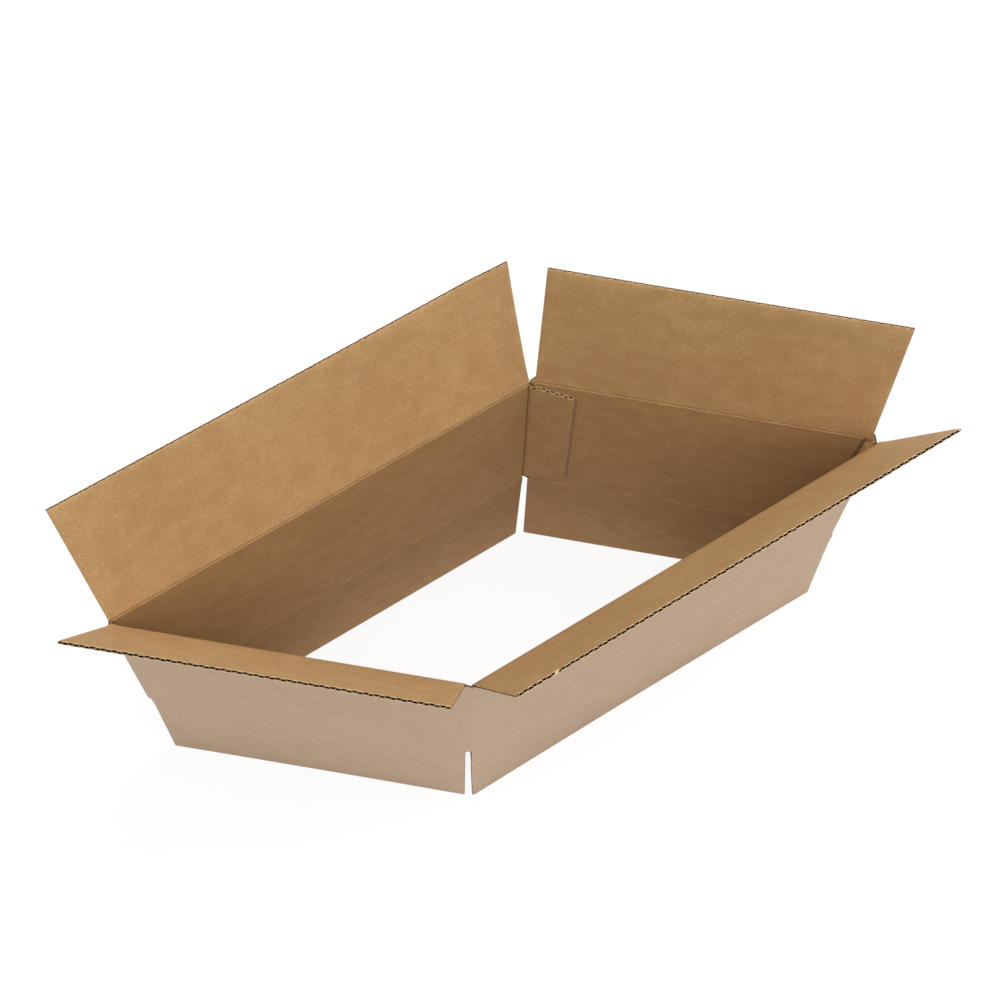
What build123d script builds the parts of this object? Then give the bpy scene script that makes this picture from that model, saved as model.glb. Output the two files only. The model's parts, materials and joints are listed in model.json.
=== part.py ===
"""An open shipping box of single-wall corrugated board, standing on its hanging bottom flaps.

The blank is one sheet: four wall panels in a row, a glue tab on the end of the fourth, and a flap above and
below each wall. It carries 310 x 230 x 160 mm inside. The tube has sprung back from square towards the flat
state that it was shipped in, so its plan is nearly a parallelogram. All sizes are in millimetres and degrees.

The walls run anticlockwise, seen from above: long_front, short_rear, long_rear, short_front. +X runs along the
long front wall, +Z is up, and the origin is the middle of the whole box's footprint, on the floor.
"""

import os
from math import asin, cos, degrees, hypot, radians, sin, sqrt

from build123d import *

# Board: two flat facings with a fluted sheet glued between them
BOARD = 2.2
FACING = 0.3
FLUTED_SHEET = 0.25
FLUTE_PITCH = 6.25
FLUTE_CREST = 1.0

# Tube, measured along the sheet from fold to fold through the middle of the board
LENGTH = 314.0
WIDTH = 232.0
HEIGHT = 162.0
OBTUSE_CORNER = 138.4

# The two acute folds were pressed flat in shipping, and each has sprung back to a narrow strip
RIGHT_STRIP = 5.5
LEFT_STRIP = 3.3

# Flaps, and the slots that part them, which are cut out of the short panels at the obtuse folds
FLAP = 118.5
SLOT = 4.0
SLOT_LEAD = 0.8
SLOT_OVERCUT = 1.5
CRUSHED_SCORE = 5.0
CUT_EDGE_WALL = 0.5

# Glue tab, a strip of the long rear panel that is glued inside the short rear wall, whose free edge stops a
# little short of the tab's fold
TAB = 32.0
TAB_SHOULDER = 4.0
TAB_TOP_DROP = 14.0
TAB_BOTTOM_RISE = 15.0
LAP_GAP = 1.2

# Lean of each flap out of the plane of its wall
TOP_LONG_FRONT_LEAN = 22.7
TOP_SHORT_REAR_LEAN = 9.6
TOP_LONG_REAR_LEAN = 16.2
TOP_SHORT_FRONT_LEAN = 23.2
BOTTOM_LEAN = 1.2
BOTTOM_LONG_REAR_LEAN = 2.0

HALF_BOARD = BOARD / 2
BOTTOM_SCORE = FLAP * cos(radians(BOTTOM_LEAN)) + BOARD * sin(radians(BOTTOM_LEAN))
TOP_SCORE = BOTTOM_SCORE + HEIGHT
UP = Vector(0, 0, 1)


def top_turns():
    """Return each top flap's turn about its score, by its wall."""
    return {
        "long_front": Rot(X=TOP_LONG_FRONT_LEAN),
        "short_rear": Rot(X=TOP_SHORT_REAR_LEAN),
        "long_rear": Rot(X=TOP_LONG_REAR_LEAN),
        "short_front": Rot(X=TOP_SHORT_FRONT_LEAN),
    }


def bottom_turns():
    """Return each bottom flap's turn about its score, by its wall."""
    return {
        "long_front": Rot(X=BOTTOM_LEAN),
        "short_rear": Rot(X=BOTTOM_LEAN),
        "long_rear": Rot(X=BOTTOM_LONG_REAR_LEAN),
        "short_front": Rot(X=BOTTOM_LEAN),
    }


def left_far_fold(back, left_near):
    """Return the fold where the long rear wall meets the left strip: as far from the back fold as that wall is
    long, and one strip away from the short front wall.
    """
    to_back = back - left_near
    reach = to_back.length
    wall = LENGTH - LEFT_STRIP / 2
    run = (reach * reach + LEFT_STRIP * LEFT_STRIP - wall * wall) / (2 * reach)
    rise = sqrt(LEFT_STRIP * LEFT_STRIP - run * run)
    toward = to_back.normalized()
    return left_near + toward * run + UP.cross(toward) * rise


def plan_folds():
    """Return the folds of the tube in plan, in the middle of the board: the front one, the two of the right
    strip, the back one and the two of the left strip.
    """
    front = Vector(0, 0)
    right_near = Vector(LENGTH - RIGHT_STRIP / 2, 0)
    right_far = right_near + Vector(RIGHT_STRIP, 0).rotate(Axis.Z, OBTUSE_CORNER / 2)
    back = right_far + Vector(WIDTH - RIGHT_STRIP / 2, 0).rotate(Axis.Z, OBTUSE_CORNER)
    left_near = Vector(WIDTH - LEFT_STRIP / 2, 0).rotate(Axis.Z, OBTUSE_CORNER)
    return front, right_near, right_far, back, left_far_fold(back, left_near), left_near


def lapped_end():
    """Return the place beside the back fold in plan that the short rear wall points to. It is glued to the
    outside of the tab, so this wall is turned out by the thickness of the board.
    """
    right_far, back = plan_folds()[2:4]
    wall = back - right_far
    turn = asin(BOARD / wall.length)
    return right_far + wall.rotate(Axis.Z, -degrees(turn)) * cos(turn)


def walls():
    """Return the two ends of each wall in plan, anticlockwise."""
    front, right_near, right_far, back, left_far, left_near = plan_folds()
    return {
        "long_front": (front, right_near),
        "short_rear": (right_far, lapped_end()),
        "long_rear": (back, left_far),
        "short_front": (left_near, front),
    }


def score_plane(wall, top):
    """Return the frame of a flap's score: X along it, Y into the box and Z along the flap when it is in line
    with its wall. The origin is one end of the wall, on its outer face.
    """
    first, last = walls()[wall]
    along = (last - first).normalized()
    outward = along.cross(UP)
    if top:
        return Plane(first + outward * HALF_BOARD + UP * TOP_SCORE, x_dir=along, z_dir=UP)
    return Plane(last + outward * HALF_BOARD + UP * BOTTOM_SCORE, x_dir=-along, z_dir=-UP)


def flap_span(wall, top):
    """Return the ends of a flap along its score, in the frame of that score."""
    first, last = walls()[wall]
    length = (last - first).length
    strip = LEFT_STRIP if wall in ("long_rear", "short_front") else RIGHT_STRIP
    if wall.startswith("long"):
        start, end = 0, length + strip / 2 - SLOT_LEAD
    else:
        start, end = SLOT - SLOT_LEAD - strip / 2, length - SLOT
    if top:
        return start, end
    return length - end, length - start


def flute_opening(toward_outside):
    """Return one channel's section between the fluted sheet and a facing, centred on the facing's inner face."""
    rise = BOARD - 2 * FACING - FLUTED_SHEET
    run = FLUTE_PITCH / 2 - FLUTE_CREST
    web = FLUTED_SHEET * (hypot(run, rise) - run) / rise / 2
    wide = (FLUTE_PITCH - FLUTE_CREST) / 2 - web
    narrow = FLUTE_CREST / 2 - web
    if toward_outside:
        near, far = FACING, FACING + rise
    else:
        near, far = BOARD - FACING, BOARD - FACING - rise
    return Polyline((-wide, near), (wide, near), (narrow, far), (-narrow, far), close=True)


def flute_places(start, end):
    """Return the middle of each channel across a flap, half a pitch apart and centred between the cut edges."""
    half_pitch = FLUTE_PITCH / 2
    room = end - start - 2 * CUT_EDGE_WALL - (FLUTE_PITCH - FLUTE_CREST)
    steps = int(room / half_pitch)
    middle = (start + end) / 2
    return [middle + (step - steps / 2) * half_pitch for step in range(steps + 1)]


def flap(wall, top):
    """Return a flap in its score's frame. The flutes are open at its free edge and crushed shut at the score."""
    start, end = flap_span(wall, top)
    rim = Polyline((start, 0), (end, 0), (end, BOARD), (start, BOARD), close=True)
    channels = []
    for index, place in enumerate(flute_places(start, end)):
        channels.append(Pos(place, 0) * flute_opening(toward_outside=index % 2 == 0))
    fluted = Face(rim.wire(), [channel.wire() for channel in channels])
    score = extrude(Face(rim.wire()), CRUSHED_SCORE, dir=UP)
    board = extrude(Pos(0, 0, CRUSHED_SCORE) * fluted, FLAP - CRUSHED_SCORE, dir=UP)
    return score + board


def panel_section(first, last):
    """Return a strip of board in plan, cut square at both ends."""
    along = last - first
    strip = Rectangle(along.length, BOARD)
    return Plane((first + last) / 2, x_dir=along.normalized(), z_dir=UP) * strip


def fold_section(fold):
    """Return the rounded outside of a fold in plan."""
    return Pos(fold.X, fold.Y) * Circle(HALF_BOARD)


def glue_tab():
    """Return the glue tab. Both its ends slant, so that it clears the flaps."""
    right_far, wall_end = walls()["short_rear"]
    back = plan_folds()[3]
    along = (right_far - wall_end).normalized()
    side = Plane(back + UP * BOTTOM_SCORE, x_dir=along, z_dir=along.cross(UP))
    outline = Polyline(
        (0, TAB_SHOULDER),
        (TAB, TAB_BOTTOM_RISE),
        (TAB, HEIGHT - TAB_TOP_DROP),
        (0, HEIGHT - TAB_SHOULDER),
        close=True,
    )
    return extrude(side * make_face(outline), HALF_BOARD, both=True)


def slot_cuts():
    """Return the ends of the front slots, which run a little past their scores into the short front wall."""
    first, last = walls()["short_front"]
    middle = (last - first).length - SLOT / 2
    notch = Box(SLOT, BOARD, 2 * SLOT_OVERCUT)
    upper = score_plane("short_front", top=True) * Pos(middle, HALF_BOARD, 0) * notch
    lower = score_plane("short_front", top=False) * Pos(SLOT / 2, HALF_BOARD, 0) * notch
    return [upper, lower]


def tube():
    """Return the four walls and the glue tab, one folded sheet closed at the back corner."""
    folds = plan_folds()
    section = panel_section(*folds[1:3])
    section += panel_section(*folds[4:6])
    for wall, (first, last) in walls().items():
        if wall == "short_rear":
            last -= (last - first).normalized() * LAP_GAP
        section += panel_section(first, last)
    for fold in folds:
        section += fold_section(fold)
    shell = extrude(Pos(0, 0, BOTTOM_SCORE) * section, HEIGHT, dir=UP)
    shell += glue_tab()
    for cut in slot_cuts():
        shell -= cut
    return shell


def build():
    """Return every piece by name, in place about the middle of the footprint."""
    pieces = {"tube": tube()}
    for wall, turn in top_turns().items():
        pieces[f"flap_top_{wall}"] = score_plane(wall, top=True) * turn * flap(wall, top=True)
    for wall, turn in bottom_turns().items():
        pieces[f"flap_bottom_{wall}"] = score_plane(wall, top=False) * turn * flap(wall, top=False)
    boxes = [piece.bounding_box() for piece in pieces.values()]
    middle_x = (min(box.min.X for box in boxes) + max(box.max.X for box in boxes)) / 2
    middle_y = (min(box.min.Y for box in boxes) + max(box.max.Y for box in boxes)) / 2
    return {name: Pos(-middle_x, -middle_y) * piece for name, piece in pieces.items()}


os.makedirs("parts", exist_ok=True)
for name, piece in build().items():
    export_step(piece, f"parts/{name}.step")
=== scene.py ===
"""The looks of an open shipping box of single-wall corrugated board, standing on its hanging bottom flaps.

The box is one sheet: a glue tab, four walls in a row, and a flap above and below each wall. The tube of
walls is one piece here and each flap is another. A flap's piece holds its own crease, so that the board
bends there. Sizes are in metres and angles in degrees. +X runs along the long front wall and +Z is up.
"""

import json
import logging
import math
from dataclasses import dataclass, field
from enum import Enum
from functools import cached_property

import bmesh
import bpy
import numpy as np
from mathutils import Matrix, Vector


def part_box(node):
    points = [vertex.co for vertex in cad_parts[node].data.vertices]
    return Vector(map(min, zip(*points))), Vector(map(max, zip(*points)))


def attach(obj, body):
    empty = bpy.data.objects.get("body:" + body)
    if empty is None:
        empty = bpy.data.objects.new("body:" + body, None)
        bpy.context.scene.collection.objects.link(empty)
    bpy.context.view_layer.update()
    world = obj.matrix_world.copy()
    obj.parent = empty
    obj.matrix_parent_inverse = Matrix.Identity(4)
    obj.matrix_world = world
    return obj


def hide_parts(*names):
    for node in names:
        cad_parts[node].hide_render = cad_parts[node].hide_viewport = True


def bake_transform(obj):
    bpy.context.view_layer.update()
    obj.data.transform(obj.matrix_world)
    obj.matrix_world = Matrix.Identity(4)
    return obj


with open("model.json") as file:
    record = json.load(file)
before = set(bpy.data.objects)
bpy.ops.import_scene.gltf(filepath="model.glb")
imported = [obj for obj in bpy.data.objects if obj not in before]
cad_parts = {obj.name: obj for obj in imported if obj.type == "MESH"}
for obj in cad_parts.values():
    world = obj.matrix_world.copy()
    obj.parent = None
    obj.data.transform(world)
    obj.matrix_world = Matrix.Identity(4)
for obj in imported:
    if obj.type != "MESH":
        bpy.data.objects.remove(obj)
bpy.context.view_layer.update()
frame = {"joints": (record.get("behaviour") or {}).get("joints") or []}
log = logging.getLogger("shipping_box")

UP = Vector((0, 0, 1))
MM = 0.001
BOARD_MAP = "board"

# Points nearer than this become one, and an edge that turns by more degrees than this looks sharp
WELD = 0.001 * MM
SHARP_ANGLE = 32

# Places along the sheet are rounded to this many decimals, so that none stands twice
PLACE_DECIMALS = 7

# The parts of the sheet, anticlockwise from the glue tab, and the walls among them
SEGMENTS = ("tab", "long_rear", "left_strip", "short_front", "long_front", "right_strip", "short_rear")
WALLS = ("long_rear", "short_front", "long_front", "short_rear")


class Face(Enum):
    """The finishes of the board, in the order of each piece's material slots."""

    OUTER = 0
    INNER = 1
    MEDIUM = 2
    CUT = 3
    # A cut rim darkened with painted shade
    SHADED_CUT = 4


def linear(red: int, green: int, blue: int) -> tuple[float, float, float, float]:
    """Turn a colour as a picture shows it, 0 to 255, into the light that it stands for.

    Args:
        red: Red, 0 to 255.
        green: Green, 0 to 255.
        blue: Blue, 0 to 255.

    Returns:
        Red, green, blue and alpha for a shader socket.
    """
    knee, toe, offset, power = 0.04045, 12.92, 0.055, 2.4
    parts = [part / 255 for part in (red, green, blue)]
    light = [part / toe if part <= knee else ((part + offset) / (1 + offset)) ** power for part in parts]
    return (*light, 1.0)


def smooth_step(share: np.ndarray | float) -> np.ndarray | float:
    """Ease from 0 to 1 as share goes from 0 to 1, and stay there outside that range."""
    held = np.clip(share, 0, 1)
    return held * held * (3 - 2 * held)


def bell(distance: np.ndarray | float, reach: float) -> np.ndarray | float:
    """Fall smoothly from 1 where distance is 0 to 0 where it is reach or more, on both sides."""
    return 1 - smooth_step(np.abs(distance) / reach)


def linked(name: str, data: bpy.types.ID) -> bpy.types.Object:
    """Make an object and put it in the scene.

    Args:
        name: Its name.
        data: Its mesh, camera or light.

    Returns:
        The object.
    """
    made = bpy.data.objects.new(name, data)
    bpy.context.scene.collection.objects.link(made)
    return made


class Value:
    """An output socket of a node. Sums on one that carries a number add Math nodes."""

    def __init__(self, graph: "Graph", socket: bpy.types.NodeSocket) -> None:
        """Wrap one output socket of a graph's node."""
        self.graph = graph
        self.socket = socket

    def maths(self, operation: str, *numbers: "Value | float") -> "Value":
        """Add a Math node.

        Args:
            operation: The node's operation.
            numbers: What goes into its sockets, in order.

        Returns:
            The node's result.
        """
        sockets = dict(enumerate(numbers))
        return self.graph.node("ShaderNodeMath", {"operation": operation}, sockets)

    def __add__(self, other: "Value | float") -> "Value":
        """Add other."""
        return self.maths("ADD", self, other)

    def __radd__(self, other: float) -> "Value":
        """Add to other."""
        return self.maths("ADD", other, self)

    def __sub__(self, other: "Value | float") -> "Value":
        """Take other away."""
        return self.maths("SUBTRACT", self, other)

    def __rsub__(self, other: float) -> "Value":
        """Take away from other."""
        return self.maths("SUBTRACT", other, self)

    def __mul__(self, other: "Value | float") -> "Value":
        """Multiply by other."""
        return self.maths("MULTIPLY", self, other)

    def __rmul__(self, other: float) -> "Value":
        """Multiply other."""
        return self.maths("MULTIPLY", other, self)

    def __abs__(self) -> "Value":
        """Drop the sign."""
        return self.maths("ABSOLUTE", self)

    def sine(self) -> "Value":
        """Take the sine of a number of radians."""
        return self.maths("SINE", self)

    def between(self, low: float, high: float) -> "Value":
        """Ease from 0 at low to 1 at high.

        Args:
            low: Where the result is still 0.
            high: Where the result reaches 1.

        Returns:
            A smooth mask from 0 to 1.
        """
        settings = {"interpolation_type": "SMOOTHSTEP", "clamp": True}
        sockets = {"Value": self, "From Min": low, "From Max": high}
        return self.graph.node("ShaderNodeMapRange", settings, sockets)


@dataclass(frozen=True)
class Noise:
    """Cloudy noise over the board.

    A direction's stretch multiplies how many times the noise varies in a metre along it. Layers counts the
    finer noise that is added.
    """

    per_metre: float
    layers: float
    stretch: tuple[float, float, float] = (1, 1, 1)


class Graph:
    """The nodes of one material or world."""

    def __init__(self, owner: bpy.types.Material | bpy.types.World) -> None:
        """Empty the owner's node tree and keep it."""
        owner.use_nodes = True
        self.tree = owner.node_tree
        self.tree.nodes.clear()

    def node(
        self,
        kind: str,
        settings: dict[str, object] | None = None,
        sockets: dict[str | int, object] | None = None,
        out: str | int = 0,
    ) -> Value:
        """Add a node.

        Args:
            kind: The node's type.
            settings: What is set on the node before its sockets, such as its operation.
            sockets: A value or a link for each input socket, by name or place.
            out: The output socket that is wanted.

        Returns:
            The wanted output.
        """
        made = self.tree.nodes.new(kind)
        for name, setting in (settings or {}).items():
            setattr(made, name, setting)
        for name, value in (sockets or {}).items():
            if isinstance(value, Value):
                self.tree.links.new(value.socket, made.inputs[name])
            else:
                made.inputs[name].default_value = value
        has_output = len(made.outputs) > 0
        return Value(self, made.outputs[out] if has_output else None)

    def tint(self, mask: Value | float, plain: Value | tuple, changed: Value | tuple) -> Value:
        """Mix two colours.

        Args:
            mask: 0 for the plain colour and 1 for the changed one.
            plain: The colour where the mask is 0.
            changed: The colour where the mask is 1.

        Returns:
            The mixed colour.
        """
        settings = {"data_type": "RGBA", "clamp_factor": True}
        return self.node("ShaderNodeMix", settings, {0: mask, 6: plain, 7: changed}, out=2)

    def noise(self, place: Value, noise: Noise) -> Value:
        """Add cloudy noise.

        Args:
            place: Where on the board the noise is read, in metres.
            noise: How it varies.

        Returns:
            A number that wanders about a half.
        """
        scale = [noise.per_metre * share for share in noise.stretch]
        where = self.node("ShaderNodeVectorMath", {"operation": "MULTIPLY"}, {0: place, 1: scale})
        return self.node("ShaderNodeTexNoise", {}, {"Vector": where, "Scale": 1.0, "Detail": noise.layers})


@dataclass(frozen=True)
class Board:
    """Single-wall board: two facings and, between them, a fluted sheet.

    Its channels are the small ones that are left where the knife has crushed the fluted sheet.
    """

    thickness: float = 2.2 * MM
    facing: float = 0.25 * MM
    fluted_sheet: float = 0.25 * MM
    pitch: float = 6.25 * MM
    crest_flat: float = 1.0 * MM
    steepness: float = 2.2
    steps_per_flute: int = 18
    channel: float = 1.0 * MM
    channel_reach: float = 2.2 * MM

    def flute(self, along: np.ndarray, crest: float) -> tuple[np.ndarray, np.ndarray, np.ndarray]:
        """Shape the fluted sheet.

        Args:
            along: Places across the flutes.
            crest: A place where the fluted sheet touches the inner facing.

        Returns:
            At each place, the depth of the sheet's middle under the outer face, its slope, and how far its
            two sides lie from that middle.
        """
        swing = self.thickness / 2 - self.facing - self.fluted_sheet / 2
        wave = np.arcsin(np.cos((along - crest) * 2 * math.pi / self.pitch)) * 2 / math.pi
        depth = self.thickness / 2 + swing * np.clip(self.steepness * wave, -1, 1)
        slope = np.gradient(depth, along)
        return depth, slope, self.fluted_sheet / 2 / np.hypot(1, slope)

    def crushed(self, along: np.ndarray, start: float) -> tuple[np.ndarray, np.ndarray]:
        """Shape the fluted sheet where the knife has crushed it, with channels left on alternate sides.

        Args:
            along: Places across the flutes.
            start: Where the first channel lies.

        Returns:
            The depths of the sheet's outer and inner side under the outer face, at each place.
        """
        steps = (along - start) / (self.pitch / 2)
        nearest = np.round(steps)
        channel = self.channel * bell((steps - nearest) * self.pitch / 2, self.channel_reach)
        odd = nearest % 2 == 1
        outer = self.facing + np.where(odd, channel, 0)
        return outer, self.thickness - self.facing - np.where(odd, 0, channel)

    def columns(self, start: float, end: float) -> np.ndarray:
        """Space the columns of a fluted sheet evenly between two places."""
        count = round((end - start) / self.pitch * self.steps_per_flute)
        return np.linspace(start, end, max(count, 2) + 1)


BOARD = Board()

# How the paper varies: broad clouds and drifts, fine grain, fibres that run along the sheet, and specks
CLOUDS = Noise(per_metre=70, layers=3.0)
DRIFT = Noise(per_metre=14, layers=2.0)
GRAIN = Noise(per_metre=480, layers=3.0)
FIBRES = Noise(per_metre=420, layers=3.0, stretch=(1, 5, 1))
SPECKS = Noise(per_metre=620, layers=1.0)


@dataclass(frozen=True)
class Kraft:
    """A finish of brown kraft paper, with its fibres, flecks and clouding.

    The plain paper changes to the colour of its clouds or its flecks. Clouding, grain, flecks and washboard
    say how strongly, and the ranges say between which values of the noise the change sets in. The shares
    weigh the clouds against the drifts and the grain against the fibres. Fold shade is painted shade, in
    the colour of the flecks, along the upright folds of the walls.
    """

    name: str
    paper: tuple[int, int, int]
    cloud: tuple[int, int, int]
    fleck: tuple[int, int, int]
    clouding: float = 0.5
    grain: float = 0.1
    flecks: float = 0.5
    washboard: float = 0.2
    cloud_range: tuple[float, float] = (0.35, 0.65)
    grain_range: tuple[float, float] = (0.38, 0.62)
    ridge_range: tuple[float, float] = (0.3, 0.7)
    speck_range: tuple[float, float] = (0.68, 0.78)
    cloud_share: float = 0.6
    grain_share: float = 0.55
    fold_shade: float = 0.0
    fold_reach: float = 2.8 * MM
    fold_end: float = 1.0 * MM
    roughness: float = 0.8
    grain_roughness: float = 0.15
    sheen_level: float = 0.35
    grain_height: float = 0.03 * MM
    washboard_height: float = 0.02 * MM

    def material(self, folds: list[tuple[float, float]], height: float) -> bpy.types.Material:
        """Make the finish.

        Args:
            folds: The place of each fold along the sheet at the top scores, where shade is painted along
                it, and
            how far it leans for each metre down.
            height: The height of the walls, from the bottom scores to the top ones.

        Returns:
            A material that reads the board's own map, in metres, so that the paper runs on over a crease.
        """
        made = bpy.data.materials.new(self.name)
        graph = Graph(made)
        place = graph.node("ShaderNodeUVMap", {"uv_map": BOARD_MAP})
        across, up = (graph.node("ShaderNodeSeparateXYZ", {}, {0: place}, out=axis) for axis in (0, 1))
        ridges = (across * (2 * math.pi / BOARD.pitch)).sine()
        clouds, drift, grain, fibres, specks = (
            graph.noise(place, noise) for noise in (CLOUDS, DRIFT, GRAIN, FIBRES, SPECKS)
        )

        broad = clouds * self.cloud_share + drift * (1 - self.cloud_share)
        fine = grain * self.grain_share + fibres * (1 - self.grain_share)
        crests = (ridges * 0.5 + 0.5) * clouds.between(*self.ridge_range)
        changes = [
            (broad.between(*self.cloud_range) * self.clouding, self.cloud),
            (fine.between(*self.grain_range) * self.grain, self.fleck),
            (crests * self.washboard, self.cloud),
            (specks.between(*self.speck_range) * self.flecks, self.fleck),
        ]
        # Painted shade along the upright folds, darkening them towards the fleck colour
        if self.fold_shade:
            changes.append((self.fold_shade_mask(across, up, folds, height) * self.fold_shade, self.fleck))
        colour: Value | tuple = linear(*self.paper)
        for mask, shade in changes:
            colour = graph.tint(mask, colour, linear(*shade))

        rough = self.roughness + (grain - 0.5) * self.grain_roughness
        relief = (grain + fibres) * 0.5 * self.grain_height + ridges * self.washboard_height
        bump = graph.node("ShaderNodeBump", {}, {"Strength": 1.0, "Distance": 1.0, "Height": relief})
        sockets = {
            "Base Color": colour,
            "Roughness": rough,
            "Specular IOR Level": self.sheen_level,
            "Normal": bump,
        }
        surface = graph.node("ShaderNodeBsdfPrincipled", {}, sockets)
        graph.node("ShaderNodeOutputMaterial", {}, {"Surface": surface})
        return made

    def fold_shade_mask(
        self, across: Value, up: Value, folds: list[tuple[float, float]], height: float
    ) -> Value:
        """Mask the painted shade along the upright folds, on the walls alone.

        Args:
            across: The place along the sheet.
            up: The height over the bottom scores.
            folds: The place of each fold at the top scores, and its lean for each metre down.
            height: The height of the walls.

        Returns:
            1 on a fold, fading to 0 on both sides.
        """
        off_folds: Value | float = 1.0
        for fold, lean in folds:
            distance = abs(across - fold - (height - up) * lean)
            off_folds = distance.between(0, self.fold_reach) * off_folds
        on_wall = up.between(0, self.fold_end) * (1.0 - up.between(height - self.fold_end, height))
        return (1.0 - off_folds) * on_wall


OUTER_KRAFT = Kraft(
    name="outer_kraft",
    paper=(189, 162, 136),
    cloud=(180, 153, 127),
    fleck=(146, 118, 92),
    clouding=0.6,
    grain=0.2,
    flecks=0.3,
    washboard=0.15,
)
INNER_KRAFT = Kraft(
    name="inner_kraft",
    paper=(187, 152, 105),
    cloud=(174, 138, 92),
    fleck=(112, 79, 42),
    clouding=0.9,
    grain=0.26,
    flecks=0.4,
    washboard=0.25,
    # Strength of the painted shade along the upright folds
    fold_shade=0.9,
)
# The fluted sheet's brown darkened nearly to black: painted shade for the deep flutes and the gaps between
# the facings
SHADED_FLUTED_KRAFT = Kraft(
    name="shaded_fluted_kraft",
    paper=(50, 32, 14),
    cloud=(42, 27, 12),
    fleck=(32, 20, 8),
    sheen_level=0.0,
)
CUT_KRAFT = Kraft(
    name="cut_kraft",
    paper=(176, 149, 116),
    cloud=(164, 137, 104),
    fleck=(136, 108, 78),
    grain=0.12,
)
# Cut rims darkened as painted shade, for the glue tab's fluted sheet deep inside the box
SHADED_CUT_KRAFT = Kraft(
    name="shaded_cut_kraft",
    paper=(138, 113, 78),
    cloud=(124, 100, 67),
    fleck=(92, 70, 48),
    grain=0.12,
)


@dataclass
class Sheet:
    """A mesh made of thin closed shells, with a map in metres of board."""

    points: list[np.ndarray] = field(default_factory=list)
    faces: list[np.ndarray] = field(default_factory=list)
    maps: list[np.ndarray] = field(default_factory=list)
    slots: list[np.ndarray] = field(default_factory=list)
    count: int = 0

    def grid(self, points: np.ndarray, places: np.ndarray, face: Face, flip: bool) -> None:
        """Add a grid of four-sided faces.

        Args:
            points: Rows and columns of points.
            places: The same rows and columns of places on the board.
            face: The finish.
            flip: Whether the faces look the other way.
        """
        rows, columns = points.shape[:2]
        index = np.arange(rows * columns).reshape(rows, columns)
        corners = [index[:-1, :-1], index[:-1, 1:], index[1:, 1:], index[1:, :-1]]
        quads = np.stack(corners, axis=-1).reshape(-1, 4)
        if flip:
            quads = quads[:, ::-1]
        self.points.append(points.reshape(-1, 3))
        self.maps.append(places.reshape(-1, 2)[quads].reshape(-1, 2))
        self.faces.append(quads + self.count)
        self.slots.append(np.full(len(quads), face.value))
        self.count += rows * columns

    def shell(
        self,
        outer: np.ndarray,
        inner: np.ndarray,
        places: np.ndarray,
        finishes: tuple[Face, Face],
        rim: Face = Face.CUT,
    ) -> None:
        """Add a closed thin sheet between two grids, with cut rims.

        Args:
            outer: The grid of the side that looks outward. Seen from there, its columns run right and its
                rows run up.
            inner: The grid of the other side.
            places: The places on the board, for both.
            finishes: The finish of the outer side and of the inner side.
            rim: The finish of the cut rims.
        """
        self.grid(outer, places, finishes[0], flip=False)
        self.grid(inner, places, finishes[1], flip=True)
        for edge, flip in ((0, True), (-1, False)):
            self.grid(np.stack([outer[edge], inner[edge]]), np.stack([places[edge]] * 2), rim, flip)
            sides = np.stack([outer[:, edge], inner[:, edge]])
            self.grid(sides, np.stack([places[:, edge]] * 2), rim, not flip)

    def build(self, name: str, materials: list[bpy.types.Material]) -> bpy.types.Object:
        """Make the mesh object.

        Args:
            name: The piece's name.
            materials: One material for each finish.

        Returns:
            The object, linked to the scene.
        """
        mesh = bpy.data.meshes.new(name)
        faces = np.concatenate(self.faces)
        mesh.from_pydata(np.concatenate(self.points).tolist(), [], faces.tolist())
        board_map = mesh.uv_layers.new(name=BOARD_MAP)
        board_map.data.foreach_set("uv", np.concatenate(self.maps).ravel())
        mesh.polygons.foreach_set("material_index", np.concatenate(self.slots))
        for material in materials:
            mesh.materials.append(material)
        weld = bmesh.new()
        weld.from_mesh(mesh)
        bmesh.ops.remove_doubles(weld, verts=weld.verts, dist=WELD)
        weld.to_mesh(mesh)
        weld.free()
        mesh.shade_smooth()
        mesh.set_sharp_from_angle(angle=math.radians(SHARP_ANGLE))
        return linked(name, mesh)


@dataclass
class Score:
    """The line that a flap turns about, with its frame: x along it, y into the box and z along the flap.

    Its lean is how far the flap stands out of the plane of its wall at rest.
    """

    body: str
    middle: Vector
    x: Vector
    z: Vector
    lean: float

    @classmethod
    def of(cls, joint: dict) -> "Score":
        """Read a score from one of the frame's joints.

        Args:
            joint: The joint, as the frame gives it.

        Returns:
            The score.
        """
        top = "_top_" in joint["child"]
        return cls(
            body=joint["child"],
            middle=Vector(joint["pos_m"]),
            x=Vector(joint["axis"]).normalized(),
            z=UP if top else -UP,
            lean=-joint["range_deg"][0],
        )

    @property
    def lean_angle(self) -> float:
        """The flap's lean, in radians."""
        return math.radians(self.lean)

    @property
    def y(self) -> Vector:
        """The way into the box."""
        return self.z.cross(self.x)

    @property
    def top(self) -> bool:
        """Whether this is a top flap's score."""
        return self.z.z > 0

    @property
    def wall(self) -> str:
        """The wall's name."""
        return self.body.split("_", 2)[2]

    def placed(self, x: np.ndarray, y: np.ndarray, z: np.ndarray) -> np.ndarray:
        """Put the points of a flap without any lean in their places on the box.

        Args:
            x: Along the score, from its middle.
            y: Into the box, from the outer face.
            z: Along the flap, from the score.

        Returns:
            The points.
        """
        axes = np.array([self.x, self.y, self.z])
        return np.array(self.middle) + np.stack([x, y, z], axis=-1) @ axes


def crossing(start: Vector, way: Vector, other: Vector, across: Vector) -> Vector:
    """Find where a line meets a plane.

    Args:
        start: A point of the line.
        way: The line's direction.
        other: A point of the plane.
        across: The plane's normal.

    Returns:
        The crossing.
    """
    return start + way * ((other - start).dot(across) / way.dot(across))


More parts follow.
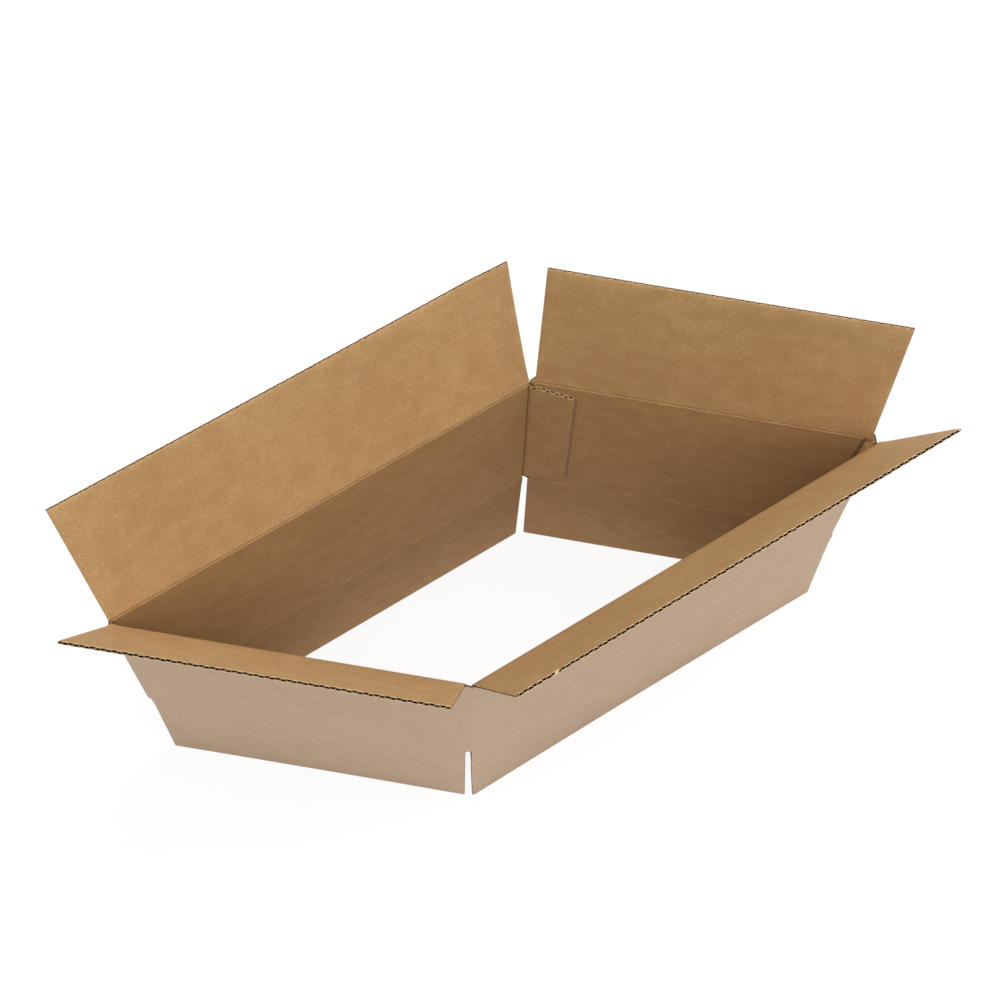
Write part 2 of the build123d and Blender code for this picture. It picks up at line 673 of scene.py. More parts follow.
@dataclass
class Carton:
    """The folded sheet in plan, worked out from the frame's joints.

    Places along the sheet are counted from the back fold, so those of the tab are below zero. The two
    strips are the acute folds, which were pressed flat in shipping. Shade is painted along a line past the
    right one's far fold, which leans. The pieces of the flaps cover the edges of the walls.
    """

    scores: dict[str, Score]
    slot: float = 4.0 * MM
    slot_lead: float = 0.8 * MM
    lap_gap: float = 0.3 * MM
    tab: float = 32.0 * MM
    cover: float = 3.0 * MM
    # Where the line of painted shade lies past the right strip's far fold, and its lean for each metre down
    flat_fold_shade: float = 4.4 * MM
    flat_fold_shade_lean: float = 0.06

    @classmethod
    def of(cls, joints: list[dict]) -> "Carton":
        """Read the carton from the frame's joints."""
        scores = [Score.of(joint) for joint in joints]
        return cls({score.body: score for score in scores})

    def wall(self, name: str) -> Score:
        """Find the top score of a wall."""
        return self.scores[f"flap_top_{name}"]

    @property
    def high(self) -> float:
        """The height of the top scores."""
        return self.wall("long_rear").middle.z

    @property
    def low(self) -> float:
        """The height of the bottom scores."""
        return self.scores["flap_bottom_long_rear"].middle.z

    @cached_property
    def path(self) -> list[Vector]:
        """The middle of the board in plan, at the height of the top scores, in the order of the segments.

        It ends beside the back fold, because the short rear wall is glued to the outside of the tab.
        """
        walls = {name: self.wall(name) for name in WALLS}
        middles = {name: wall.middle + wall.y * BOARD.thickness / 2 for name, wall in walls.items()}
        rear = walls["short_rear"]
        lap = rear.y * BOARD.thickness
        front = crossing(
            middles["short_front"], walls["short_front"].x, middles["long_front"], walls["long_front"].y
        )
        back = crossing(middles["short_rear"] + lap, rear.x, middles["long_rear"], walls["long_rear"].y)
        return [
            back - rear.x * self.tab,
            back,
            middles["long_rear"] * 2 - back,
            middles["short_front"] * 2 - front,
            front,
            middles["long_front"] * 2 - front,
            middles["short_rear"] * 2 - (back - lap),
            back - lap,
        ]

    @cached_property
    def runs(self) -> list[float]:
        """How far along the sheet each point of the path lies, from the back fold."""
        lengths = [(after - before).length for before, after in zip(self.path, self.path[1:])]
        return [sum(lengths[:place]) - lengths[0] for place in range(len(self.path))]

    @property
    def shaded_folds(self) -> list[tuple[float, float]]:
        """The place of each fold's line of painted shade at the top scores, and its lean for each metre
        down.
        """
        flattened = self.segment("right_strip")
        upright = [(run, 0.0) for run in self.runs[1:-1] if run not in flattened]
        return [*upright, (flattened[1] + self.flat_fold_shade, self.flat_fold_shade_lean)]

    def segment(self, name: str) -> tuple[float, float]:
        """Find where a part of the sheet starts and ends."""
        place = SEGMENTS.index(name)
        return self.runs[place], self.runs[place + 1]

    def flap_span(self, wall: str) -> tuple[float, float]:
        """Find where a wall's flaps start and end along the sheet.

        Args:
            wall: The wall's name.

        Returns:
            Both ends.
        """
        start, end = self.segment(wall)
        near, far = self.segment("right_strip" if wall in ("long_front", "short_rear") else "left_strip")
        half_strip = (far - near) / 2
        if wall.startswith("long"):
            return start, end + half_strip - self.slot_lead
        return start + self.slot - self.slot_lead - half_strip, end - self.slot

    def flap_length(self, score: Score) -> float:
        """Measure a flap from its score to its free edge, on the bottom flap of its wall.

        Args:
            score: The flap's score.

        Returns:
            The length.
        """
        below = self.scores[f"flap_bottom_{score.wall}"]
        lean = below.lean_angle
        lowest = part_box(below.body)[0].z
        return (below.middle.z - lowest - BOARD.thickness * math.sin(lean)) / math.cos(lean)


@dataclass(frozen=True)
class Shape:
    """How a flap has warped and been pressed.

    Curl, bow, shift, twist and corner say how far into the box its parts have moved: its middle, the
    middle of its free edge, all of that edge, its two ends against each other, and the edge's corner at the
    start. The presses say how deep its score and its cut edge are, and the score's sets in over press_start
    from the flap's start. The nick's place goes from -1 at the flap's start to 1 at its end.
    """

    curl: float = 0.0
    tip_bow: float = 0.0
    tip_shift: float = 0.0
    twist: float = 0.0
    press: float = 0.45 * MM
    press_reach: float = 1.3 * MM
    press_start: float = 0.0
    cut_press: float = 0.08 * MM
    corner: float = 0.0
    corner_share: float = 0.2
    nick: float | None = None

    def depth(self, share: np.ndarray, width_share: np.ndarray) -> np.ndarray:
        """Find how far the flap has warped into the box.

        Args:
            share: How far along the flap, from its score at 0 to its free edge at 1.
            width_share: How far across the flap, from -1 at its start to 1 at its end.

        Returns:
            The depth at each place.
        """
        curl = self.curl * 4 * share * (1 - share)
        bow = self.tip_bow * (1 - width_share**2)
        corner = self.corner * share * smooth_step(1 - (1 + width_share) / self.corner_share)
        return curl + share * (bow + self.tip_shift + self.twist * width_share + corner)


OPEN_SCORE = {"press": 1.45 * MM, "press_reach": 4.5 * MM}
SHAPES = {
    "flap_top_long_rear": Shape(
        curl=-0.7 * MM,
        tip_bow=0.5 * MM,
        tip_shift=-0.3 * MM,
        twist=-0.5 * MM,
        cut_press=0.3 * MM,
        corner=1.3 * MM,
    ),
    "flap_top_short_rear": Shape(curl=0.2 * MM, tip_bow=0.3 * MM, tip_shift=-0.1 * MM, cut_press=0.35 * MM),
    "flap_top_long_front": Shape(twist=-0.05 * MM, nick=-0.825, **OPEN_SCORE),
    "flap_top_short_front": Shape(press_start=9.0 * MM, **OPEN_SCORE),
    "flap_bottom_long_front": Shape(curl=0.3 * MM, tip_bow=0.8 * MM, tip_shift=-0.85 * MM, twist=0.35 * MM),
    "flap_bottom_short_front": Shape(curl=0.2 * MM, tip_bow=0.3 * MM),
    "flap_bottom_long_rear": Shape(tip_shift=0.75 * MM),
}


@dataclass
class Flap:
    """One flap with its crease. The board bends within a narrow zone on both sides of the score.

    Beside the crushed score the inner facing swells to a lip and the outer one has a dent. The knife has
    pressed the board at the free edge and at both ends.
    """

    carton: Carton
    score: Score
    shape: Shape
    crease: float = 1.5 * MM
    crush: float = 4.0 * MM
    lip: float = 0.08 * MM
    lip_place: float = 1.9 * MM
    lip_reach: float = 0.9 * MM
    outer_dent: float = 0.08 * MM
    outer_reach: float = 1.3 * MM
    cut_reach: float = 2.4 * MM
    side_press: float = 0.5 * MM
    side_reach: float = 1.6 * MM
    nick_reach: float = 2.2 * MM
    nick_depth: float = 6.0 * MM
    edge_wall: float = 0.5 * MM
    column: float = 3.2 * MM
    side_columns: tuple[float, ...] = (0.0, 0.33, 0.67, 1.0)
    row: float = 9.0 * MM
    crease_row: float = 0.25 * MM
    tip_rows: int = 3

    @property
    def length(self) -> float:
        """The flap's length from score to free edge."""
        return self.carton.flap_length(self.score)

    @cached_property
    def ends(self) -> tuple[float, float]:
        """The flap's two ends along its score, from the middle of the score."""
        start, end = self.carton.segment(self.score.wall)
        low, high = (place - (start + end) / 2 for place in self.carton.flap_span(self.score.wall))
        return (low, high) if self.score.top else (-high, -low)

    def bent(self, x: np.ndarray, y: np.ndarray, z: np.ndarray) -> np.ndarray:
        """Lean and curl points of the flat flap.

        Args:
            x: Along the score, from its middle.
            y: Into the box, from the outer face.
            z: Along the flap, from the score.

        Returns:
            The points in their places on the box.
        """
        low, high = self.ends
        start, end = self.carton.segment(self.score.wall)
        x = np.where(z < 0, np.clip(x, (start - end) / 2, (end - start) / 2), x)
        share = np.clip(z / self.length, 0, 1)
        width_share = (2 * x - low - high) / (high - low)
        y = y + self.shape.depth(share, width_share)
        lean = self.score.lean_angle * smooth_step((z + self.crease) / (2 * self.crease))
        sine, cosine = np.sin(lean), np.cos(lean)
        return self.score.placed(x, y * cosine - z * sine, y * sine + z * cosine)

    def on_board(self, x: np.ndarray, z: np.ndarray) -> np.ndarray:
        """Find the places of points on the flat sheet, from the back fold and the bottom scores.

        Args:
            x: Along the score, from its middle.
            z: Along the flap, from the score.

        Returns:
            The places along the sheet and up it.
        """
        middle = sum(self.carton.segment(self.score.wall)) / 2
        if self.score.top:
            return np.stack([middle + x, self.carton.high - self.carton.low + z], axis=-1)
        return np.stack([middle - x, -z], axis=-1)

    def crest(self) -> float:
        """Find the first place where the fluted sheet touches the inner facing.

        Returns:
            The place along the score, from its middle.
        """
        low, high = self.ends
        half_pitch = BOARD.pitch / 2
        steps = int((high - low - 2 * self.edge_wall - (BOARD.pitch - BOARD.crest_flat)) / half_pitch)
        return (low + high) / 2 - steps / 2 * half_pitch

    def rows(self) -> np.ndarray:
        """Space the rows of a facing, close together at the crease and at the free edge.

        Returns:
            Their places along the flap, from the score.
        """
        fine = np.arange(-self.carton.cover, self.crush, self.crease_row)
        last = self.length - self.cut_reach
        count = round((last - self.crush) / self.row)
        tip = np.linspace(last, self.length, self.tip_rows + 1)[1:]
        return np.concatenate([fine, np.linspace(self.crush, last, count + 1), tip])

    def columns(self) -> np.ndarray:
        """Space the columns of a facing, close together at the flap's two ends.

        Returns:
            Their places along the score, from its middle.
        """
        low, high = self.ends
        end = self.side_reach * np.array(self.side_columns)
        count = round((high - low) / self.column)
        return np.concatenate([low + end, np.linspace(low, high, count + 1)[1:-1], high - end[::-1]])

    def squeezed(self, x: np.ndarray, z: np.ndarray) -> np.ndarray:
        """Find how far the knife has pressed each facing towards the other, at the free edge and both ends.

        Args:
            x: Along the score, from its middle.
            z: Along the flap, from the score.

        Returns:
            The depth of the press.
        """
        low, high = self.ends
        ends = np.maximum(bell(x - low, self.side_reach), bell(x - high, self.side_reach))
        side = self.side_press * ends * smooth_step((z - self.crush) / self.crush)
        return np.maximum(self.shape.cut_press * bell(z - self.length, self.cut_reach), side)

    def facings(self, sheet: Sheet) -> None:
        """Add the outer and inner facing.

        Args:
            sheet: The mesh.
        """
        z, x = np.meshgrid(self.rows(), self.columns(), indexing="ij")
        places = self.on_board(x, z)
        shape = self.shape
        cut = self.squeezed(x, z)
        dent = self.outer_dent * bell(z, self.outer_reach) + cut
        pressed = shape.press * bell(z, shape.press_reach)
        if shape.press_start:
            pressed = pressed * smooth_step((x - self.ends[0]) / shape.press_start)
        dip = pressed - self.lip * bell(z + self.lip_place, self.lip_reach) + cut
        under = BOARD.thickness - BOARD.facing
        sheet.shell(
            self.bent(x, dent, z),
            self.bent(x, dent + BOARD.facing, z),
            places,
            (Face.OUTER, Face.MEDIUM),
        )
        sheet.shell(
            self.bent(x, under - dip, z),
            self.bent(x, BOARD.thickness - dip, z),
            places,
            (Face.MEDIUM, Face.INNER),
        )

    def flutes(self, sheet: Sheet) -> None:
        """Add the fluted sheet, open at the flap's free edge and ending at the crushed score.

        Args:
            sheet: The mesh.
        """
        low, high = self.ends
        columns = BOARD.columns(low, high)
        count = round((self.length - self.crush) / (2 * self.row))
        z, x = np.meshgrid(np.linspace(self.crush, self.length, count + 1), columns, indexing="ij")
        depth, slope, side = BOARD.flute(columns, self.crest())
        middle = BOARD.thickness / 2
        depth = middle + (depth - middle) * (1 - self.squeezed(x, z) / (middle - BOARD.facing))
        if self.shape.nick is not None:
            place = (low + high) / 2 + self.shape.nick * (high - low) / 2
            closed = bell(x - place, self.nick_reach) * bell(z - self.length, self.nick_depth)
            depth = depth + (middle - depth) * closed
            side = side + (middle - BOARD.facing - side) * closed
        outer = self.bent(np.clip(x + slope * side, low, high), depth - side, z)
        inner = self.bent(np.clip(x - slope * side, low, high), depth + side, z)
        sheet.shell(outer, inner, self.on_board(x, z), (Face.MEDIUM, Face.MEDIUM))

    def build(self, materials: list[bpy.types.Material]) -> bpy.types.Object:
        """Build the flap and dress it.

        Args:
            materials: One material for each finish.

        Returns:
            The piece.
        """
        sheet = Sheet()
        self.facings(sheet)
        self.flutes(sheet)
        piece = sheet.build(f"{self.score.body}_board", materials)
        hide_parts(self.score.body)
        reach = self.score.z * self.crease
        self.score.middle - reach
        self.score.middle + reach
        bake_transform(piece)
        return piece


@dataclass(frozen=True)
class SlotFoot:
    """The foot of a slot, where the edge of the tube shows between two flaps.

    Its heights are how far the board stands past the top and the bottom scores, at its start and its end.
    """

    start: float
    end: float
    top: tuple[float, float]
    bottom: tuple[float, float]

    def holds(self, along: np.ndarray) -> np.ndarray:
        """Find which places along the sheet lie in the slot."""
        return (along > self.start) & (along < self.end)


@dataclass
class Tube:
    """The four walls and the glue tab, one folded sheet that closes at the back corner."""

    carton: Carton

    # The glue tab: how far its edges and its neck stand past the scores, and its pressed free edge
    tab_shoulder: float = 4.4 * MM
    tab_top_drop: float = 13.5 * MM
    tab_bottom_rise: float = 15.0 * MM
    tab_neck: float = 3.2 * MM
    neck_shares: tuple[float, ...] = (1.0, 0.64, 0.25)
    neck_rises: tuple[float, ...] = (-2.5 * MM, 3.0 * MM, 6.5 * MM)
    tab_bevel: float = 0.9 * MM
    tab_pressed: float = 0.6 * MM

    # The feet of the slots: level ones, the deeper cut at the front corner, the strip that stands up at the
    # right one, and the ear of the short rear wall at the back one
    past_fold: float = 0.2 * MM
    foot_level: float = 0.5 * MM
    front_cut: float = 3.0 * MM
    strip_rise: float = 3.0 * MM
    strip_peak: float = 6.0 * MM
    ear: float = 4.3 * MM
    ear_foot: float = -1.8 * MM

    # How the board is pressed there, and the crushed fluted sheet that fills it
    outer_press: float = 0.5 * MM
    inner_press: float = 0.8 * MM
    rim_reach: float = 3.5 * MM
    filling_drop: float = 0.2 * MM
    filling_reach: float = 2.2 * MM

    # The folds' grooves inside, and the facet inside the right corner, by its distance from the scores
    fold_groove: float = 0.6 * MM
    fold_groove_reach: float = 1.8 * MM
    facet_reaches: tuple[float, ...] = (4.5 * MM, 5.0 * MM, 7.3 * MM, 10.0 * MM)
    facet_drops: tuple[float, ...] = (0.0, 20.0 * MM, 36.0 * MM, 60.0 * MM)
    facet_start: float = 3.0 * MM
    facet_fade: float = 6.0 * MM
    facet_step: float = 1.0 * MM

    # The folds' rounding, and the columns and rows of the mesh
    inner_fold: float = 0.6 * MM
    fold_run: float = 3.0 * MM
    fold_steps: int = 8
    step: float = 0.01 * MM
    column: float = 6.0 * MM
    rim_rows: tuple[float, ...] = tuple(
        row * MM
        for row in (0.0, 1.0, 2.2, 3.5, 4.7, 6.0, 8.0, 10.0, 13.0, 16.0, 20.0, 25.0, 32.0, 40.0, 60.0)
    )

    @cached_property
    def runs(self) -> list[float]:
        """The places of the tab's end, the folds and the glued edge along the sheet."""
        *folds, end = self.carton.runs
        return [*folds, end - self.carton.lap_gap]

    @cached_property
    def slot_feet(self) -> list[SlotFoot]:
        """The feet of the slots, from the left corner round to the back one."""
        carton = self.carton
        left, right = (carton.segment(strip)[0] + self.past_fold for strip in ("left_strip", "right_strip"))
        short_front, long_front, short_rear = (
            carton.flap_span(wall) for wall in ("short_front", "long_front", "short_rear")
        )
        level, rise = self.foot_level, self.strip_rise
        return [
            SlotFoot(left, short_front[0], top=(level, level), bottom=(level, level)),
            SlotFoot(short_front[1], long_front[0], top=(-level, -self.front_cut), bottom=(-level, -level)),
            SlotFoot(right, short_rear[0], top=(rise, self.strip_peak), bottom=(rise, rise)),
            SlotFoot(short_rear[1], carton.runs[-1], top=(self.ear, self.ear_foot), bottom=(0.0, 0.0)),
        ]

    def stations(self) -> np.ndarray:
        """Space the columns along the sheet, close together at the folds and at the ends of the slots.

        Returns:
            Their places, in order.
        """
        places = []
        last = len(self.runs) - 2
        half_fold = self.fold_run / 2
        for place, (start, end) in enumerate(zip(self.runs, self.runs[1:])):
            low = start if place == 0 else start + half_fold
            high = end if place == last else end - half_fold
            count = max(round((high - low) / self.column), 1)
            places.extend(np.linspace(low, high, count + 1))
            if place < last:
                places.extend(np.linspace(end - half_fold, end + half_fold, self.fold_steps + 1))
        for foot in self.slot_feet:
            for edge in (foot.start, foot.end):
                places.extend([edge - self.step, edge + self.step])
            places.extend([foot.start - self.filling_reach, foot.end + self.filling_reach])
        far = self.carton.segment("right_strip")[1] + half_fold
        places.extend(far + np.arange(0, self.facet_reaches[-1], self.facet_step))
        places.extend([*self.tab_outline[0], self.step, self.tab_bevel - self.carton.tab])
        kept = [place for place in places if place <= self.runs[-1]]
        return np.unique(np.round(kept, PLACE_DECIMALS))

    def in_plan(self, along: np.ndarray, depth: np.ndarray, rounding: float) -> np.ndarray:
        """Place points of the flat sheet round the tube.

        Args:
            along: Places along the sheet, from the back fold.
            depth: Depths under the outer face, for each place.
            rounding: The radius of the folds at that depth.

        Returns:
            The points in plan, at no height.
        """
        path = self.carton.path
        runs = self.runs
        points = np.zeros((len(along), 3))
        for place, (start, end) in enumerate(zip(runs, runs[1:])):
            way = (path[place + 1] - path[place]).normalized()
            inward = UP.cross(way)
            last = place == len(runs) - 2
            held = (along >= start - WELD) & ((along <= end + WELD) if last else (along < end))
            offset = depth[held] - BOARD.thickness / 2
            run = np.outer(along[held] - start, way)
            points[held] = np.array(path[place]) + run + np.outer(offset, inward)
        for place in range(1, len(path) - 1):
            self.round_fold(points, along, depth, rounding, place)
        return points

    def round_fold(
        self, points: np.ndarray, along: np.ndarray, depth: np.ndarray, rounding: float, place: int
    ) -> None:
        """Bend the columns of one fold round an arc that meets both walls.

        Args:
            points: The points in plan, changed in place.
            along: Their places along the sheet.
            depth: Their depths under the outer face.
            rounding: The arc's radius.
            place: The fold's place on the path.
        """
        path = self.carton.path
        run = self.runs[place]
        before = (path[place] - path[place - 1]).normalized()
        after = (path[place + 1] - path[place]).normalized()
        turn = before.angle(after)
        inward = UP.cross(before)
        inner_way = (inward + UP.cross(after)).normalized()
        near = np.abs(along - run) <= self.fold_run / 2 + WELD
        for index in np.flatnonzero(near):
            offset = depth[index] - BOARD.thickness / 2
            centre = path[place] + inner_way * ((offset + rounding) / math.cos(turn / 2))
            share = (along[index] - run) / self.fold_run + 0.5
            spoke = Matrix.Rotation(turn * share, 3, "Z") @ (-inward)
            points[index] = centre + spoke * rounding

    @cached_property
    def tab_outline(self) -> tuple[list[float], list[float], list[float]]:
        """Places along the tab, and how far its top and bottom edges stand past the scores there.

        Its neck at the back fold rises to the foot of the slot beside it.
        """
        places = [-self.carton.tab, *(-self.tab_neck * share for share in self.neck_shares), 0.0]
        top = [-self.tab_top_drop, -self.tab_shoulder, *self.neck_rises]
        bottom = [-self.tab_bottom_rise, *[-self.tab_shoulder] * (len(places) - 1)]
        return places, top, bottom

    @property
    def tab_breaks(self) -> tuple[float, float]:
        """Where the bevel of the tab's free edge ends and where its neck starts."""
        return self.tab_bevel - self.carton.tab - self.step, -self.tab_neck - self.step

    def edges(self, along: np.ndarray) -> tuple[np.ndarray, np.ndarray]:
        """Find the lower and upper edge of the sheet.

        Args:
            along: Places along the sheet, from the back fold.

        Returns:
            The heights of both edges.
        """
        carton = self.carton
        lower = np.full(len(along), carton.low + carton.cover)
        upper = np.full(len(along), carton.high - carton.cover)
        for foot in self.slot_feet:
            held = foot.holds(along)
            upper[held] = carton.high + np.interp(along[held], (foot.start, foot.end), foot.top)
            lower[held] = carton.low - np.interp(along[held], (foot.start, foot.end), foot.bottom)
        held = along <= self.step / 2
        places, top, bottom = self.tab_outline
        upper[held] = carton.high + np.interp(along[held], places, top)
        lower[held] = carton.low - np.interp(along[held], places, bottom)
        return lower, upper

    @cached_property
    def shares(self) -> np.ndarray:
        """The rows of the walls, as shares of their height, close together at both rims."""
        rim = np.array(self.rim_rows) / (self.carton.high - self.carton.low)
        return np.concatenate([rim, [0.5], 1 - rim[::-1]])

    def heights(self, along: np.ndarray) -> np.ndarray:
        """Find the height of every row at places along the sheet."""
        lower, upper = self.edges(along)
        return lower + (upper - lower) * self.shares[:, None]

    def pressed(self, along: np.ndarray) -> np.ndarray:
        """Find how strongly the board is pressed thin at the feet of the slots, at each row and column.

        Args:
            along: Places along the sheet.

        Returns:
            1 where the board is thinnest and 0 where it is whole.
        """
        heights = self.heights(along)
        _, neck = self.tab_breaks
        held = (along > neck) & (along < self.step)
        for foot in self.slot_feet:
            held |= foot.holds(along)
        upper, lower = (bell(heights - heights[row], self.rim_reach) for row in (-1, 0))
        return np.maximum(upper, lower) * held

    def leaning(self, along: np.ndarray) -> np.ndarray:
        """Find how far the board beside the back slot leans out with its flap.

        Args:
            along: Places along the sheet.

        Returns:
            The way out at each row and column.
        """
        foot = self.slot_feet[-1]
        over = np.maximum(self.heights(along) - self.carton.high, 0)
        return over * math.tan(self.carton.wall("short_rear").lean_angle) * (along > foot.start)

    def facet(self, points: np.ndarray, along: np.ndarray) -> None:
        """Flatten the inner facing across the right strip, whose far fold was pressed flat.

        The facet runs from the near fold to a place on the short rear wall, farther off at half height than
        at the scores.

        Args:
            points: Rows and columns of points, changed in place.
            along: Their places along the sheet.
        """
        near, far = self.carton.segment("right_strip")
        for row in points:
            drop = np.minimum(self.carton.high - row[:, 2], row[:, 2] - self.carton.low)
            end = far + np.interp(drop, self.facet_drops, self.facet_reaches)
            strength = smooth_step((drop - self.facet_start) / self.facet_fade)
            across = (along > near) & (along < end)
            share = (along - near) / (end - near)
            for axis in (0, 1):
                first = np.interp(near, along, row[:, axis])
                last = np.interp(end, along, row[:, axis])
                chord = first + (last - first) * share
                row[:, axis] += np.where(across, (chord - row[:, axis]) * strength, 0)

    def raised(
        self, along: np.ndarray, depths: np.ndarray, rounding: float
    ) -> tuple[np.ndarray, np.ndarray]:
        """Raise the sheet's plan into a wall.

        Args:
            along: Places along the sheet.
            depths: Depths under the outer face, for each place or for each row and place.
            rounding: The radius of the folds at that depth.

        Returns:
            Rows and columns of points, and of places on the board.
        """
        heights = self.heights(along)
        rows = np.broadcast_to(depths, heights.shape) - self.leaning(along)
        points = np.stack([self.in_plan(along, row, rounding) for row in rows])
        points[:, :, 2] = heights
        places = np.stack([np.broadcast_to(along, heights.shape), heights - self.carton.low], axis=-1)
        return points, places

    def facings(self, sheet: Sheet) -> None:
        """Add the outer and inner facing, each in parts that differ in finish.

        Args:
            sheet: The mesh.
        """
        along = self.stations()
        thick, facing = BOARD.thickness, BOARD.facing
        press = self.pressed(along)
        pushed = press * self.outer_press
        outside, places = self.raised(along, pushed, thick / 2)
        behind, _ = self.raised(along, pushed + facing, thick / 2 - facing)
        sunk = thick - self.grooved(along) - press * self.inner_press
        under, _ = self.raised(along, sunk - facing, self.inner_fold + facing)
        inside, _ = self.raised(along, sunk, self.inner_fold)
        self.facet(under, along)
        self.facet(inside, along)

        bevel, neck = (int(np.argmax(along > place)) for place in self.tab_breaks)
        last = len(along) - 1
        outer, medium = Face.OUTER, Face.MEDIUM
        parts = (
            (outside, behind, 0, neck, (outer, medium), Face.CUT),
            (outside, behind, neck, last, (outer, medium), medium),
            (under, inside, 0, bevel, (medium, Face.CUT), Face.CUT),
            (under, inside, bevel, neck, (medium, Face.INNER), Face.CUT),
            (under, inside, neck, last, (medium, Face.INNER), medium),
        )
        for near, far, first, end, finishes, rim in parts:
            held = slice(first, end + 1)
            sheet.shell(near[:, held], far[:, held], places[:, held], finishes, rim)
        self.fillings(sheet, along, behind, under, places)

    def grooved(self, along: np.ndarray) -> np.ndarray:
        """Find how deep the inner face is sunk at the folds and at the tab's free edge.

        The folds of the right strip have no groove, because the facet takes their place.

        Args:
            along: Places along the sheet.

        Returns:
            The depth at each place.
        """
        flattened = self.carton.segment("right_strip")
        folds = np.array([run for run in self.runs[1:-1] if run not in flattened])
        nearest = np.abs(along[:, None] - folds).min(axis=1)
        groove = self.fold_groove * bell(nearest, self.fold_groove_reach)
        return groove + self.tab_pressed * bell(along + self.carton.tab, self.tab_bevel)

    def fillings(
        self, sheet: Sheet, along: np.ndarray, behind: np.ndarray, under: np.ndarray, places: np.ndarray
    ) -> None:
        """Add the crushed fluted sheet between the facings at the feet of the slots.

        Args:
            sheet: The mesh.
            along: Places along the sheet.
            behind: The grid of the outer facing's inner side.
            under: The grid of the inner facing's outer side.
            places: The places on the board, for both.
        """
        for foot in self.slot_feet:
            reach = self.filling_reach + self.step
            part = np.flatnonzero((along >= foot.start - reach) & (along <= foot.end + reach))
            sides = [side[:, part].copy() for side in (behind, under)]
            for side in sides:
                side[-1, :, 2] -= self.filling_drop
                side[0, :, 2] += self.filling_drop
            sheet.shell(*sides, places[:, part], (Face.MEDIUM, Face.MEDIUM), rim=Face.MEDIUM)

    def flutes(self, sheet: Sheet) -> None:
        """Add the fluted sheet of each wall and of the tab, between the crushed folds.

        It is straight from its bottom row to its top one. On the tab the knife has crushed it.

        Args:
            sheet: The mesh.
        """
        runs = self.runs
        rows = [0, -1]
        for place, (start, end) in enumerate(zip(runs, runs[1:])):
            on_tab = place == 0
            low = start if on_tab else start + self.fold_run
            high = end if place == len(runs) - 2 else end - self.fold_run
            if high - low < BOARD.pitch:
                continue
            along = BOARD.columns(low, high)
            if on_tab:
                near, far = BOARD.crushed(along, low)
                outer, places = self.raised(along, near, 0)
                inner, _ = self.raised(along, far, 0)
            else:
                depth, slope, side = BOARD.flute(along, low + BOARD.pitch / 4)
                outer, places = self.raised(np.clip(along + slope * side, low, high), depth - side, 0)
                inner, _ = self.raised(np.clip(along - slope * side, low, high), depth + side, 0)
            # The tab's rims take the cut finish darkened with painted shade
            rim = Face.SHADED_CUT if on_tab else Face.CUT
            sheet.shell(outer[rows], inner[rows], places[rows], (Face.MEDIUM, Face.MEDIUM), rim)

    def build(self, materials: list[bpy.types.Material]) -> bpy.types.Object:
        """Build the walls and the tab and dress them.

        Args:
            materials: One material for each finish.

        Returns:
            The piece.
        """
        sheet = Sheet()
        self.facings(sheet)
        self.flutes(sheet)
        piece = sheet.build("tube_board", materials)
        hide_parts("tube")
        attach(piece, "tube")
        return piece


@dataclass(frozen=True)
class Lamp:
    """A lamp. Its bearing is anticlockwise from the front, and its power is in watts."""

    name: str
    bearing: float
    power: float


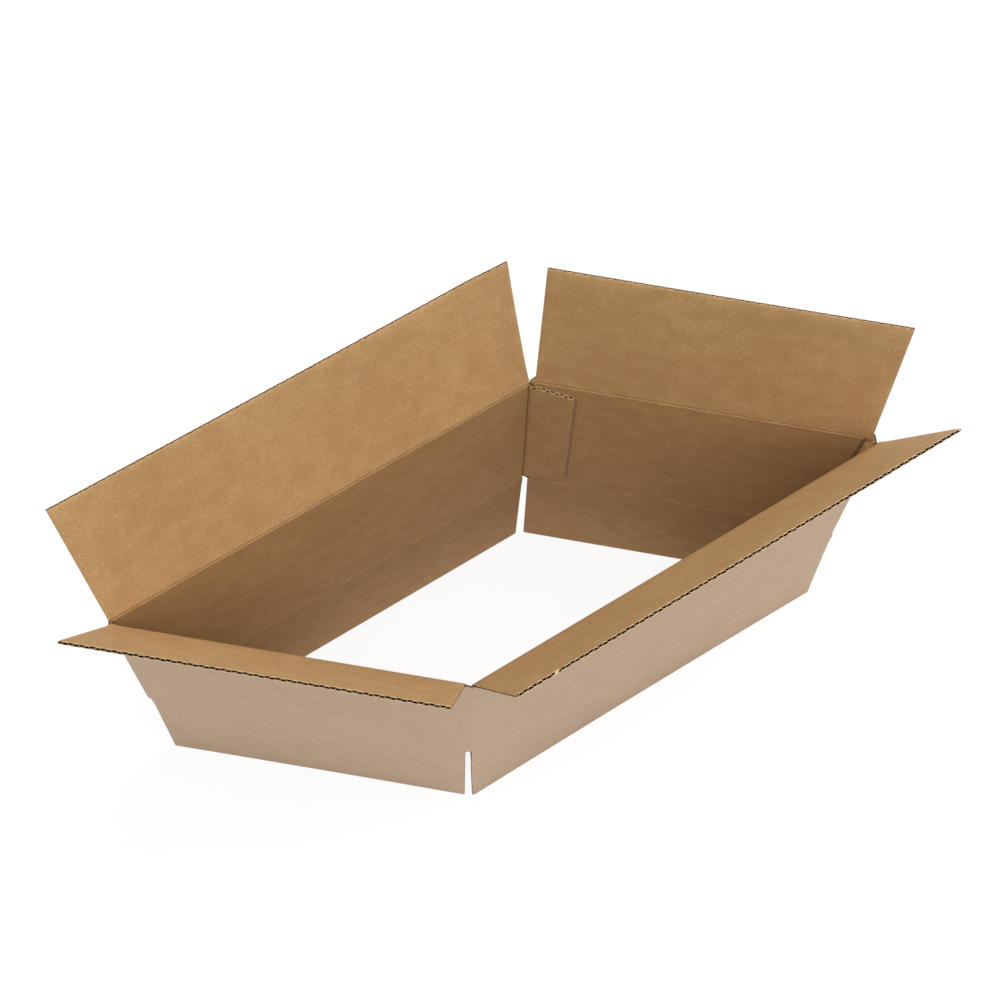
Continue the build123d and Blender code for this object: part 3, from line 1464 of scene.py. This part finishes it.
@dataclass
class Studio:
    """The floor, the light and the camera."""

    target: tuple[float, float, float] = (0.04923, 0.06789, 0.150)
    distance: float = 1.33808
    azimuth: float = 34.5985
    depression: float = 67.7537
    roll: float = 2.7368
    lens: float = 66.716
    sensor: float = 36.0
    floor_size: float = 12.0
    floor_white: float = 0.86
    floor_glow: float = 0.85
    sky: float = 0.3
    lamps: tuple[Lamp, ...] = (Lamp("front", 0, 34.5), Lamp("right", 90, 61.0), Lamp("left", 270, 32.0))
    lamp_size: float = 1.6
    lamp_height: float = 68.0
    lamp_distance: float = 2.6
    lamp_target: tuple[float, float, float] = (0.01, 0.0, 0.2)

    def camera(self) -> None:
        """Make the camera, at the photograph's angle and distance."""
        angles = (self.azimuth, self.depression, self.roll)
        azimuth, depression, roll = (math.radians(angle) for angle in angles)
        flat = math.cos(depression)
        forward = Vector((math.sin(azimuth) * flat, math.cos(azimuth) * flat, -math.sin(depression)))
        level = forward.cross(UP).normalized()
        right = Matrix.Rotation(-roll, 3, forward) @ level
        data = bpy.data.cameras.new("camera")
        data.lens = self.lens
        data.sensor_width = self.sensor
        camera = linked("camera", data)
        turn = Matrix((right, right.cross(forward), -forward)).transposed()
        camera.matrix_world = Matrix.LocRotScale(Vector(self.target) - forward * self.distance, turn, None)
        bpy.context.scene.camera = camera

    def floor(self) -> None:
        """Make the pale floor, which looks white from the camera apart from a soft shadow."""
        material = bpy.data.materials.new("floor")
        graph = Graph(material)
        white = (self.floor_white, self.floor_white, self.floor_white, 1)
        paint = graph.node("ShaderNodeBsdfDiffuse", {}, {"Color": white})
        glow = graph.node("ShaderNodeEmission", {}, {"Color": (1, 1, 1, 1), "Strength": 1.0})
        seen = graph.node("ShaderNodeLightPath", out="Is Camera Ray") * self.floor_glow
        surface = graph.node("ShaderNodeMixShader", {}, {0: seen, 1: paint, 2: glow})
        graph.node("ShaderNodeOutputMaterial", {}, {"Surface": surface})
        mesh = bpy.data.meshes.new("floor")
        half = self.floor_size / 2
        corners = [(-half, -half, 0), (half, -half, 0), (half, half, 0), (-half, half, 0)]
        mesh.from_pydata(corners, [], [(0, 1, 2, 3)])
        mesh.materials.append(material)
        floor = linked("floor", mesh)

    def light(self) -> None:
        """Light the box with an even white room and soft lamps high on three sides."""
        world = bpy.data.worlds.new("room")
        graph = Graph(world)
        seen = graph.node("ShaderNodeLightPath", out="Is Camera Ray")
        strength = self.sky + seen * (1 - self.sky)
        room = graph.node("ShaderNodeBackground", {}, {"Color": (1, 1, 1, 1), "Strength": strength})
        graph.node("ShaderNodeOutputWorld", {}, {"Surface": room})
        bpy.context.scene.world = world
        for lamp in self.lamps:
            self.hang(lamp)

    def hang(self, lamp: Lamp) -> None:
        """Hang one square lamp that looks at the box.

        Args:
            lamp: Where it hangs and how strong it is.
        """
        bearing, height = math.radians(lamp.bearing), math.radians(self.lamp_height)
        level = math.cos(height)
        way = Vector((math.sin(bearing) * level, -math.cos(bearing) * level, math.sin(height)))
        data = bpy.data.lights.new(lamp.name, "AREA")
        data.size = self.lamp_size
        data.energy = lamp.power
        made = linked(lamp.name, data)
        made.location = Vector(self.lamp_target) + way * self.lamp_distance
        made.rotation_euler = (-way).to_track_quat("-Z", "Y").to_euler()


def main() -> None:
    """Build the camera, the box and its setting."""
    logging.basicConfig(level=logging.INFO, format="%(name)s: %(message)s")
    studio = Studio()
    studio.camera()
    studio.floor()
    studio.light()
    carton = Carton.of(frame["joints"])
    finishes = (OUTER_KRAFT, INNER_KRAFT, SHADED_FLUTED_KRAFT, CUT_KRAFT, SHADED_CUT_KRAFT)
    materials = [finish.material(carton.shaded_folds, carton.high - carton.low) for finish in finishes]
    piece = Tube(carton).build(materials)
    log.info("%s: %d faces", piece.name, len(piece.data.polygons))
    for body, score in carton.scores.items():
        piece = Flap(carton, score, SHAPES.get(body, Shape())).build(materials)
        log.info("%s: %d faces", piece.name, len(piece.data.polygons))
    bpy.context.scene.view_settings.view_transform = "Standard"


if __name__ == "__main__":
    main()
